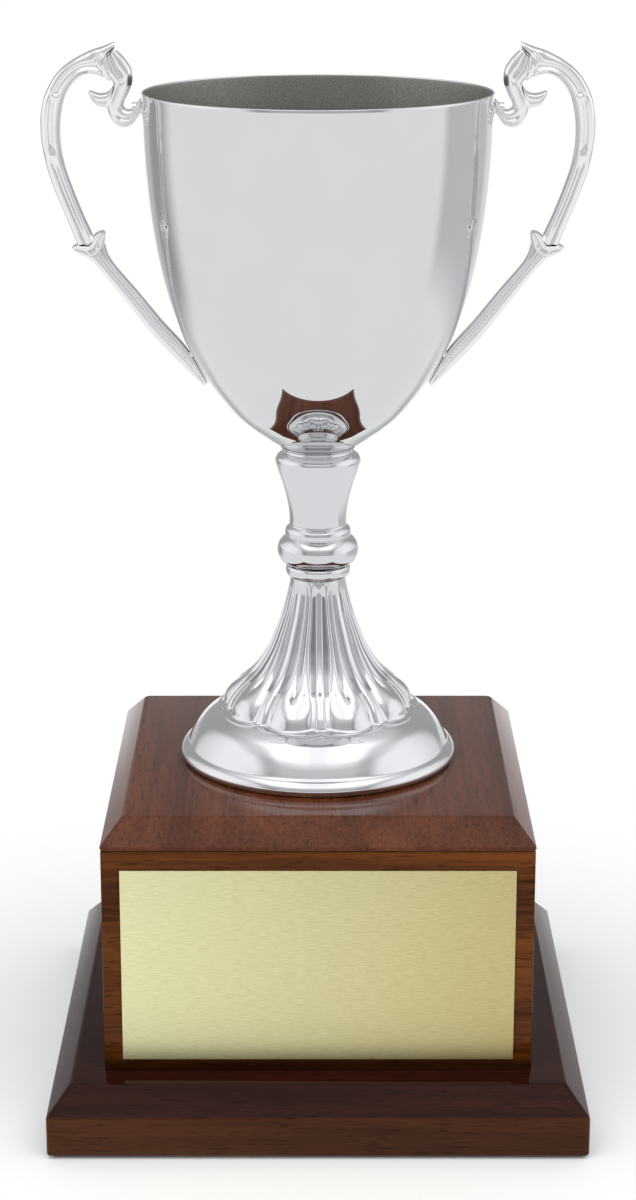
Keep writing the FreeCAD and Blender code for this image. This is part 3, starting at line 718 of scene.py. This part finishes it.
def bead(bm, outer, inner, section, thickness, across, start, end, side, radius=0.34):
    """A fine raised line along a limb, from one share of its length to another, on its front or back."""
    outer_line = smooth_line(outer, 6)
    inner_line = smooth_line(inner, 6)
    steps = max(6, round((end - start) * len(outer_line)))
    ring = bmesh.ops.create_circle(bm, cap_ends=True, segments=10, radius=1.0)["verts"]
    edges = list({edge for vert in ring for edge in vert.link_edges})
    for index in range(steps + 1):
        if index:
            ring, edges = next_ring(bm, ring, edges)
        share = start + (end - start) * index / steps
        first, second = at(outer_line, share), at(inner_line, share)
        middle = first.lerp(second, across)
        over = (second - first).normalized()
        lift = section(share, across) * thickness(share) - 0.25 * radius
        size = radius * math.sqrt(max(0.02, 1 - abs(2 * index / steps - 1) ** 8))
        for place, vert in enumerate(ring):
            angle = 2 * math.pi * place / len(ring)
            spot = middle + over * (size * math.cos(angle))
            vert.co = Vector((spot.x, side * (lift + size * math.sin(angle)), spot.y))
    bmesh.ops.contextual_create(bm, geom=ring)


def boss(bm, place, direction, length, radius):
    """A short round boss where a handle screw ends."""
    turn = Vector((0, 0, 1)).rotation_difference(Vector(direction)).to_matrix().to_4x4()
    move = Matrix.Translation(Vector(place) + Vector(direction) * (length / 2))
    bmesh.ops.create_cone(bm, cap_ends=True, segments=24, radius1=radius, radius2=radius * 0.85,
                          depth=length, matrix=move @ turn)


def make_handle(name, node, side, silver):
    """Limbs that run into each other, with fine beads on both faces."""
    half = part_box(node)[1].y / MM
    band_section = faded(ROUND, BAND_CUT, band_strength)
    band_depth = rising(0.3 * half, 0.86 * half, 0.82 * half, 0.16)
    arm_section = faded(ROUND, ARM_CUT, lambda share: min(1.0, (1 - share) / 0.06))
    arm_depth = rising(0.78 * half, 0.84 * half, 0.35 * half, 0.1, 0.35)
    bm = bmesh.new()
    limb(bm, BAND_OUTER, BAND_INNER, band_section, band_depth)
    limb(bm, SCROLL_OUTER, SCROLL_INNER, scroll_section, rising(0.5 * half, 0.86 * half, 0.8 * half, 0.3))
    limb(bm, CURL_TOP, CURL_UNDER, faded(ROUND, CURL_CUT, lambda share: min(1.0, share / 0.3)),
         rising(0.7 * half, 0.8 * half, 0.3 * half, 0.2, 0.6))
    limb(bm, SPUR_OUTER, SPUR_INNER, lambda share, across: ROUND(across),
         rising(0.5 * half, 0.76 * half, 0.4 * half, 0.3, 0.5))
    limb(bm, COLLAR_UPPER, COLLAR_LOWER, faded(ROUND, COLLAR_CUT, lambda share: 1 - abs(2 * share - 1) ** 2),
         rising(0.4 * half, half, 0.4 * half, 0.2, 0.2))
    limb(bm, ARM_OUTER, ARM_INNER, arm_section, arm_depth, spans=12)
    boss(bm, *UPPER_BOSS)
    boss(bm, *LOWER_BOSS)
    for face_side in (-1, 1):
        for start, end in BAND_BEADS:
            bead(bm, BAND_OUTER, BAND_INNER, band_section, band_depth, BAND_BEAD_ACROSS, start, end,
                 face_side)
        for across in ARM_BEADS:
            bead(bm, ARM_OUTER, ARM_INNER, arm_section, arm_depth, across, *ARM_BEAD_ENDS, face_side)
    bmesh.ops.scale(bm, vec=(side * MM, MM, MM), verts=bm.verts)
    bmesh.ops.recalc_face_normals(bm, faces=bm.faces)
    stand_for(piece_from(bm, name, [silver], 60.0), node)


# ---------------------------------------------------------------- wooden base

BOARD_ROUND = 0.0016


def round_edges(bm, edges, offset, segments=3):
    """Round edges off."""
    bmesh.ops.bevel(bm, geom=edges, offset=offset, segments=segments, profile=0.5, affect="EDGES",
                    material=-1)


def moulded_board(node, name, chamfer_in, edge_height, material):
    """A square board with a wide chamfer round its upper edge."""
    low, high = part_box(node)
    bm = bmesh.new()
    bmesh.ops.create_cube(bm, size=1.0)
    bmesh.ops.scale(bm, vec=(high.x - low.x, high.y - low.y, edge_height), verts=bm.verts)
    bmesh.ops.translate(bm, vec=(0, 0, low.z + edge_height / 2), verts=bm.verts)
    top = [face for face in bm.faces if face.normal.z > 0.9]
    raised = bmesh.ops.extrude_face_region(bm, geom=top)["geom"]
    bmesh.ops.delete(bm, geom=top, context="FACES_ONLY")
    crown = [item for item in raised if isinstance(item, bmesh.types.BMVert)]
    bmesh.ops.translate(bm, vec=(0, 0, high.z - low.z - edge_height), verts=crown)
    shrink = 1 - 2 * chamfer_in / (high.x - low.x)
    bmesh.ops.scale(bm, vec=(shrink, shrink, 1), verts=crown)
    bmesh.ops.recalc_face_normals(bm, faces=bm.faces)
    upright = [edge for edge in bm.edges if abs(edge.verts[0].co.z - edge.verts[1].co.z) > 1e-4]
    round_edges(bm, upright, BOARD_ROUND, 5)
    hard = [edge for edge in bm.edges if edge.calc_face_angle(0.0) > math.radians(28)]
    round_edges(bm, hard, BOARD_ROUND * 0.4)
    piece = piece_from(bm, name, [material], 40.0)
    stand_for(piece, node)


def make_panel(node, material, quarter_turns):
    """A mitred side board, drawn as the front one and turned about Z."""
    low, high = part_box("front_panel")
    half = high.x
    depth = high.y - low.y
    bm = bmesh.new()
    corners = [bm.verts.new((x, y, low.z)) for x, y in
               ((-half, -half), (half, -half), (half - depth, -half + depth), (-half + depth, -half + depth))]
    base = bm.faces.new(corners)
    made = bmesh.ops.extrude_face_region(bm, geom=[base])["geom"]
    lifted = [item for item in made if isinstance(item, bmesh.types.BMVert)]
    bmesh.ops.translate(bm, vec=(0, 0, high.z - low.z), verts=lifted)
    bmesh.ops.recalc_face_normals(bm, faces=bm.faces)
    round_edges(bm, list(bm.edges), 0.00035)
    bmesh.ops.rotate(bm, cent=(0, 0, 0), matrix=Matrix.Rotation(quarter_turns * math.pi / 2, 3, "Z"),
                     verts=bm.verts)
    stand_for(piece_from(bm, node + "_board", [material], 40.0), node)


def make_plate(brass):
    low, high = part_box("front_plate")
    bm = bmesh.new()
    bmesh.ops.create_cube(bm, size=1.0)
    bmesh.ops.scale(bm, vec=high - low, verts=bm.verts)
    bmesh.ops.translate(bm, vec=(low + high) / 2, verts=bm.verts)
    round_edges(bm, list(bm.edges), 0.00018)
    stand_for(piece_from(bm, "blank_plate", [brass], 40.0), "front_plate")


def make_felt(cloth):
    """A square sheet of felt, cut straight."""
    low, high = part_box("felt_pad")
    bm = bmesh.new()
    bmesh.ops.create_grid(bm, x_segments=40, y_segments=40, size=(high.x - low.x) / 2)
    made = bmesh.ops.extrude_face_region(bm, geom=list(bm.faces))["geom"]
    lifted = [item for item in made if isinstance(item, bmesh.types.BMVert)]
    bmesh.ops.translate(bm, vec=(0, 0, high.z - low.z), verts=lifted)
    bmesh.ops.recalc_face_normals(bm, faces=bm.faces)
    piece = piece_from(bm, "felt_sheet", [cloth], 40.0)
    stand_for(piece, "felt_pad")


# ---------------------------------------------------------------- room, light and camera

FLOOR_RADIUS = 1.3
PAPER_WHITE = 0.95
TENT_LEVEL = 0.74
MATT_LEVEL = 0.72
BACKDROP_LEVEL = 1.03
KEY_TURN = 42
KEY_RISE = 50
KEY_SPREAD = 50
KEY_STRENGTH = 0.72


def make_floor():
    """A round white table top that gives off a little light and stays out of the reflections."""
    paper = Finish("pale_floor")
    paper.set(Base_Color=(0.93, 0.93, 0.93, 1.0), Roughness=1.0, Specular_IOR_Level=0.0)
    paper.set(Emission_Color=(1.0, 1.0, 1.0, 1.0), Emission_Strength=0.06)
    bm = bmesh.new()
    bmesh.ops.create_circle(bm, cap_ends=True, segments=96, radius=FLOOR_RADIUS)
    floor = piece_from(bm, "floor", [paper.material])
    floor.visible_glossy = False


def make_studio():
    """A light tent for the reflections, with dimmer zones that put grey bands on the bowl.

    What the camera sees behind the trophy, and what lights matt surfaces, are even and set apart.
    """
    world = bpy.data.worlds.new("studio")
    bpy.context.scene.world = world
    world.use_nodes = True
    nodes = Nodes(world.node_tree)
    x, y, z = nodes.axes(nodes.node("ShaderNodeTexCoord"))
    side = nodes.math_one("ABSOLUTE", x)
    overhead = between(nodes, z, 0.62, 0.8, 0.0, 1.0) * between(nodes, y, -0.05, 0.4, 1.0, 0.2)
    overhead = overhead * between(nodes, side, 0.46, 0.62, 1.0, 0.2)
    overhead = overhead * between(nodes, side, 0.06, 0.2, 0.72, 1.0)
    beside = between(nodes, side, 0.62, 0.78, 0.0, 1.0) * between(nodes, z, 0.62, 0.74, 1.0, 0.25)
    gap = between(nodes, nodes.math_one("ABSOLUTE", side - 0.6), 0.0, 0.18, 0.12, 0.0)
    gap = gap * between(nodes, y, -0.4, -0.1, 1.0, 0.0)
    behind = between(nodes, y, 0.1, 0.75, 0.0, 0.3)
    low_front = between(nodes, z, 0.35, 0.6, 0.2, 0.0) * between(nodes, y, -0.6, -0.2, 1.0, 0.0)
    upper = TENT_LEVEL + overhead * 0.8 + beside * 0.42 - gap - behind - low_front
    right_shade = between(nodes, x, 0.2, 0.4, 0.0, 1.0) * between(nodes, y, -0.06, 0.1, 0.0, 0.31)
    left_shade = between(nodes, x, -0.4, -0.2, 1.0, 0.0) * between(nodes, y, 0.3, 0.62, 0.0, 0.55)
    lighter_edge = between(nodes, y, 0.76, 0.86, 0.0, 0.2)
    near_horizon = between(nodes, z, -0.5, -0.3, 0.0, 1.0)
    far_below = between(nodes, y, 0.62, 0.8, 0.0, 0.4) * between(nodes, z, -0.5, -0.4, 1.0, 0.0)
    lower = PAPER_WHITE - (right_shade + left_shade - lighter_edge) * near_horizon - far_below
    seen = lower + (upper - lower) * between(nodes, z, -0.02, 0.04, 0.0, 1.0)
    rays = nodes.node("ShaderNodeLightPath").socket.node.outputs
    camera_ray = Signal(nodes, rays["Is Camera Ray"])
    diffuse_ray = Signal(nodes, rays["Is Diffuse Ray"])
    level = seen + (MATT_LEVEL - seen) * diffuse_ray
    level = level + (BACKDROP_LEVEL - level) * camera_ray
    background = nodes.tree.nodes["Background"]
    background.inputs["Color"].default_value = (0.985, 0.99, 1.0, 1.0)
    nodes.feed(background.inputs["Strength"], level)


def soft_key(name, azimuth, elevation):
    """A broad soft light far away, kept out of the reflections."""
    data = bpy.data.lights.new(name, "SUN")
    data.energy = KEY_STRENGTH
    data.angle = math.radians(KEY_SPREAD)
    lamp = bpy.data.objects.new(name, data)
    lamp.visible_glossy = False
    aim = Vector((math.sin(azimuth) * math.cos(elevation), -math.cos(azimuth) * math.cos(elevation),
                  math.sin(elevation)))
    lamp.rotation_euler = aim.to_track_quat("Z", "Y").to_euler()
    bpy.context.scene.collection.objects.link(lamp)


def make_lights():
    soft_key("left_key", math.radians(-KEY_TURN), math.radians(KEY_RISE))
    soft_key("right_key", math.radians(KEY_TURN), math.radians(KEY_RISE))


def make_camera():
    """Above the rim and in front, looking down at the whole trophy."""
    data = bpy.data.cameras.new("camera")
    data.lens = 83.5
    data.sensor_width = 36.0
    data.clip_start = 0.01
    camera = bpy.data.objects.new("camera", data)
    camera.location = (0.0, -0.8216, 0.386)
    camera.rotation_euler = (math.radians(73.877), 0.0, 0.0)
    bpy.context.scene.collection.objects.link(camera)
    bpy.context.scene.camera = camera


bpy.context.scene.view_settings.view_transform = "Standard"
make_camera()
make_floor()
make_studio()
make_lights()

stem_silver = bright_silver("bright_silver_stem", (0.72, 0.725, 0.74), 0.01, 0.015)
bowl_silver = bright_silver("bright_silver_bowl", (0.72, 0.725, 0.735), 0.012, 0.015)
handle_silver = bright_silver("bright_silver_handles", (0.92, 0.92, 0.93), 0.18, 0.01)
satin = satin_inside()
# Painted shade: the panels are darkened to 0.3 to 0.5 of their colour at their foot, fading out 2 to 5 mm
# above the bottom.
panel_painted_shade = (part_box("front_panel")[0].z + 0.002, 0.003, (0.3, 0.3, 0.5))
# Painted light: below the chamfer the plinth's sides are multiplied 2 to 3 times lighter than its top and
# chamfer.
plinth_sides_painted_light = (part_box("plinth")[0].z + 0.0118, 0.001, (2.3, 3.2, 2.0))
cap_wood = wood("cap_walnut", "y", (0.055, 0.014, 0.006), (0.14, 0.042, 0.018), coat=1.3)
panel_wood = wood("panel_walnut", "x", (0.042, 0.011, 0.0015), (0.155, 0.045, 0.008), panel_painted_shade)
side_wood = wood("side_walnut", "y", (0.042, 0.011, 0.0015), (0.155, 0.045, 0.008), panel_painted_shade)
# Painted shade: the plinth's wood colours are dark to shade its top and chamfer.
plinth_wood = wood("plinth_walnut", "x", (0.014, 0.003, 0.0018), (0.036, 0.009, 0.005), plinth_sides_painted_light)
steel = plated_steel()

make_felt(felt_cloth())
moulded_board("plinth", "plinth_board", 0.007, 0.0122, plinth_wood)
for panel_node, turns, panel_finish in (("front_panel", 0, panel_wood), ("right_panel", 1, side_wood),
                                        ("rear_panel", 2, panel_wood), ("left_panel", 3, side_wood)):
    make_panel(panel_node, panel_finish, turns)
moulded_board("cap_board", "cap_moulding", 0.0066, 0.0013, cap_wood)
make_plate(brushed_brass())
make_foot(foot_silver_with_painted_shade())
make_stem_collar(stem_silver)
make_knop(stem_silver)
make_stem_vase(stem_silver)
make_bowl_seat(stem_silver)
make_bowl(bowl_silver, satin)
make_handle("cast_handle_left", "handle_left", -1, handle_silver)
make_handle("cast_handle_right", "handle_right", 1, handle_silver)
for node in ("tie_rod", "bowl_washer", "bowl_nut", "foot_washer", "foot_nut", "cap_washer", "cap_nut",
             "handle_screws", "handle_washers", "base_screws"):
    refinish(node, steel)
refinish("corner_blocks", bare_pine())
